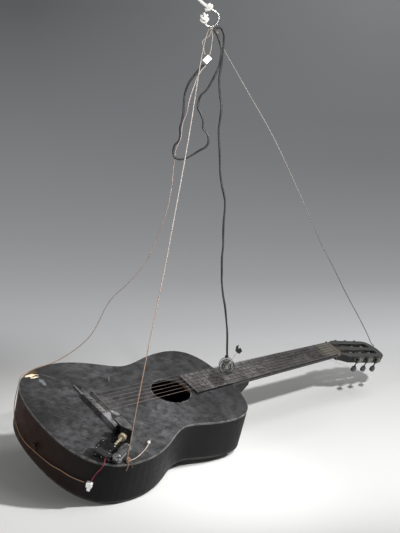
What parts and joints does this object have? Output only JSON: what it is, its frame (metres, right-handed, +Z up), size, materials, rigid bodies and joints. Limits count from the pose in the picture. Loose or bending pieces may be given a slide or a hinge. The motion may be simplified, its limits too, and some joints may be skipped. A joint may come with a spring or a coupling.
{
  "type": "broken acoustic guitar with striking motors, hung by cords",
  "caption": "Worn black acoustic guitar with a splintered bridge, hung by cords from a ring, with a small motor on its top and another hanging beside the strings.",
  "frame": {"origin": "foot of the ceiling hook's shank, where its collar meets the ceiling", "axes": "+X from the guitar's butt towards its head, +Y away from its lower edge, +Z up along the hook's shank"},
  "size_m": [0.9689, 0.3508, 1.0204],
  "materials": {
    "black_top": "matt black paint on spruce, dusty and scratched, worn pale along the edge",
    "black_ribs": "black paint, half gloss, browner at the butt",
    "bare_spruce": "bare softwood",
    "bare_cedar": "bare cedar",
    "black_neck": "black paint, worn and dusty at the head",
    "worn_board": "stained hardwood, worn grey between the frets",
    "fret_wire": "dull nickel",
    "nut_bone": "dirty grey plastic",
    "black_bridge": "black painted hardwood, splintered",
    "grey_wing": "paint rubbed to grey",
    "saddle_plastic": "painted over",
    "string_nylon": "dull nylon",
    "string_wound": "tarnished winding",
    "tuner_steel": "black paint over pressed steel",
    "steel_screw": "dull zinc plate",
    "roller_metal": "tarnished brass under dirt",
    "knob_plastic": "grey-black plastic",
    "motor_black": "moulded nylon",
    "motor_steel": "zinc-plated drawn steel",
    "wheel_cream": "yellowed acetal",
    "capsule_clear": "clear styrene",
    "coil_metal": "plated steel",
    "striker_black": "black plastic",
    "hook_steel": "zinc-plated wire",
    "terminal_white": "white polyethylene",
    "rope_white": "white braided cotton",
    "cord_tan": "tan waxed twine",
    "wire_brown": "thin brown flex",
    "cable_black": "black twin flex",
    "lead_red": "red flex"
  },
  "bodies": {
    "guitar": {"soundboard": "black_top", "ribs": "black_ribs", "back": "black_ribs", "top_lining": "bare_spruce", "back_lining": "bare_spruce", "top_braces": "bare_spruce", "back_braces": "bare_spruce", "tail_block": "bare_cedar", "neck_block": "bare_cedar", "neck": "black_neck", "fingerboard": "worn_board", "frets": "fret_wire", "nut": "nut_bone", "bridge": "black_bridge", "bridge_wing": "grey_wing", "saddle": "saddle_plastic", "string_1": "string_nylon", "string_2": "string_nylon", "string_3": "string_nylon", "string_4": "string_wound", "string_5": "string_wound", "string_6": "string_wound", "tuner_plate_near": "tuner_steel", "tuner_plate_far": "tuner_steel", "tuner_screws": "steel_screw", "strap_pin": "black_ribs", "screw_eye_far": "steel_screw", "screw_eye_near": "steel_screw", "motor_bracket": "motor_black", "gear_case": "motor_black", "motor_can": "motor_steel", "capsule_shell": "capsule_clear", "capsule_motor": "coil_metal", "ceiling_hook": "hook_steel", "ring": "hook_steel", "upper_terminal": "terminal_white", "lower_terminal": "terminal_white", "rope": "rope_white", "near_cord": "cord_tan", "head_cord": "cord_tan", "side_wire": "wire_brown", "twin_cable": "cable_black", "red_lead": "lead_red"},
    "key_1": {"tuner_key_1": "knob_plastic"},
    "roller_body_1": {"roller_1": "roller_metal"},
    "key_2": {"tuner_key_2": "knob_plastic"},
    "roller_body_2": {"roller_2": "roller_metal"},
    "key_3": {"tuner_key_3": "knob_plastic"},
    "roller_body_3": {"roller_3": "roller_metal"},
    "key_4": {"tuner_key_4": "knob_plastic"},
    "roller_body_4": {"roller_4": "roller_metal"},
    "key_5": {"tuner_key_5": "knob_plastic"},
    "roller_body_5": {"roller_5": "roller_metal"},
    "key_6": {"tuner_key_6": "knob_plastic"},
    "roller_body_6": {"roller_6": "roller_metal"},
    "drive": {"drive_wheel": "wheel_cream"},
    "striker_body": {"striker": "striker_black"}
  },
  "joints": [
    {"name": "key_1_turn", "type": "hinge", "parent": "guitar", "child": "key_1", "pos_m": [0.51921, 0.04956, -0.84357], "axis": [0.2164, -0.3179, 0.9231], "continuous": true},
    {"name": "roller_1_turn", "type": "hinge", "parent": "guitar", "child": "roller_body_1", "pos_m": [0.52527, 0.053, -0.85355], "axis": [0, 0.9455, 0.3256], "continuous": true},
    {"name": "key_2_turn", "type": "hinge", "parent": "guitar", "child": "key_2", "pos_m": [0.55485, 0.05213, -0.85104], "axis": [0.2164, -0.3179, 0.9231], "continuous": true},
    {"name": "roller_2_turn", "type": "hinge", "parent": "guitar", "child": "roller_body_2", "pos_m": [0.5609, 0.05557, -0.86102], "axis": [0, 0.9455, 0.3256], "continuous": true},
    {"name": "key_3_turn", "type": "hinge", "parent": "guitar", "child": "key_3", "pos_m": [0.59048, 0.0547, -0.85851], "axis": [0.2164, -0.3179, 0.9231], "continuous": true},
    {"name": "roller_3_turn", "type": "hinge", "parent": "guitar", "child": "roller_body_3", "pos_m": [0.59654, 0.05814, -0.86849], "axis": [0, 0.9455, 0.3256], "continuous": true},
    {"name": "key_4_turn", "type": "hinge", "parent": "guitar", "child": "key_4", "pos_m": [0.59048, -0.01999, -0.88423], "axis": [0.2164, -0.3179, 0.9231], "continuous": true},
    {"name": "roller_4_turn", "type": "hinge", "parent": "guitar", "child": "roller_body_4", "pos_m": [0.59654, -0.01655, -0.89421], "axis": [0, 0.9455, 0.3256], "continuous": true},
    {"name": "key_5_turn", "type": "hinge", "parent": "guitar", "child": "key_5", "pos_m": [0.55485, -0.02256, -0.87676], "axis": [0.2164, -0.3179, 0.9231], "continuous": true},
    {"name": "roller_5_turn", "type": "hinge", "parent": "guitar", "child": "roller_body_5", "pos_m": [0.5609, -0.01912, -0.88674], "axis": [0, 0.9455, 0.3256], "continuous": true},
    {"name": "key_6_turn", "type": "hinge", "parent": "guitar", "child": "key_6", "pos_m": [0.51921, -0.02514, -0.86929], "axis": [0.2164, -0.3179, 0.9231], "continuous": true},
    {"name": "roller_6_turn", "type": "hinge", "parent": "guitar", "child": "roller_body_6", "pos_m": [0.52527, -0.0217, -0.87927], "axis": [0, 0.9455, 0.3256], "continuous": true},
    {"name": "drive_turn", "type": "hinge", "parent": "guitar", "child": "drive", "pos_m": [-0.23694, -0.11205, -0.87405], "axis": [0.8829, 0.4439, 0.1528], "continuous": true},
    {"name": "striker_turn", "type": "hinge", "parent": "guitar", "child": "striker_body", "pos_m": [0.076, -0.062, -0.796], "axis": [-0.6211, -0.7837, 0], "continuous": true}
  ],
  "couplings": [
    {"joint": "roller_1_turn", "follows": "key_1_turn", "ratio": 0.071429},
    {"joint": "roller_2_turn", "follows": "key_2_turn", "ratio": 0.071429},
    {"joint": "roller_3_turn", "follows": "key_3_turn", "ratio": 0.071429},
    {"joint": "roller_4_turn", "follows": "key_4_turn", "ratio": -0.071429},
    {"joint": "roller_5_turn", "follows": "key_5_turn", "ratio": -0.071429},
    {"joint": "roller_6_turn", "follows": "key_6_turn", "ratio": -0.071429}
  ]
}
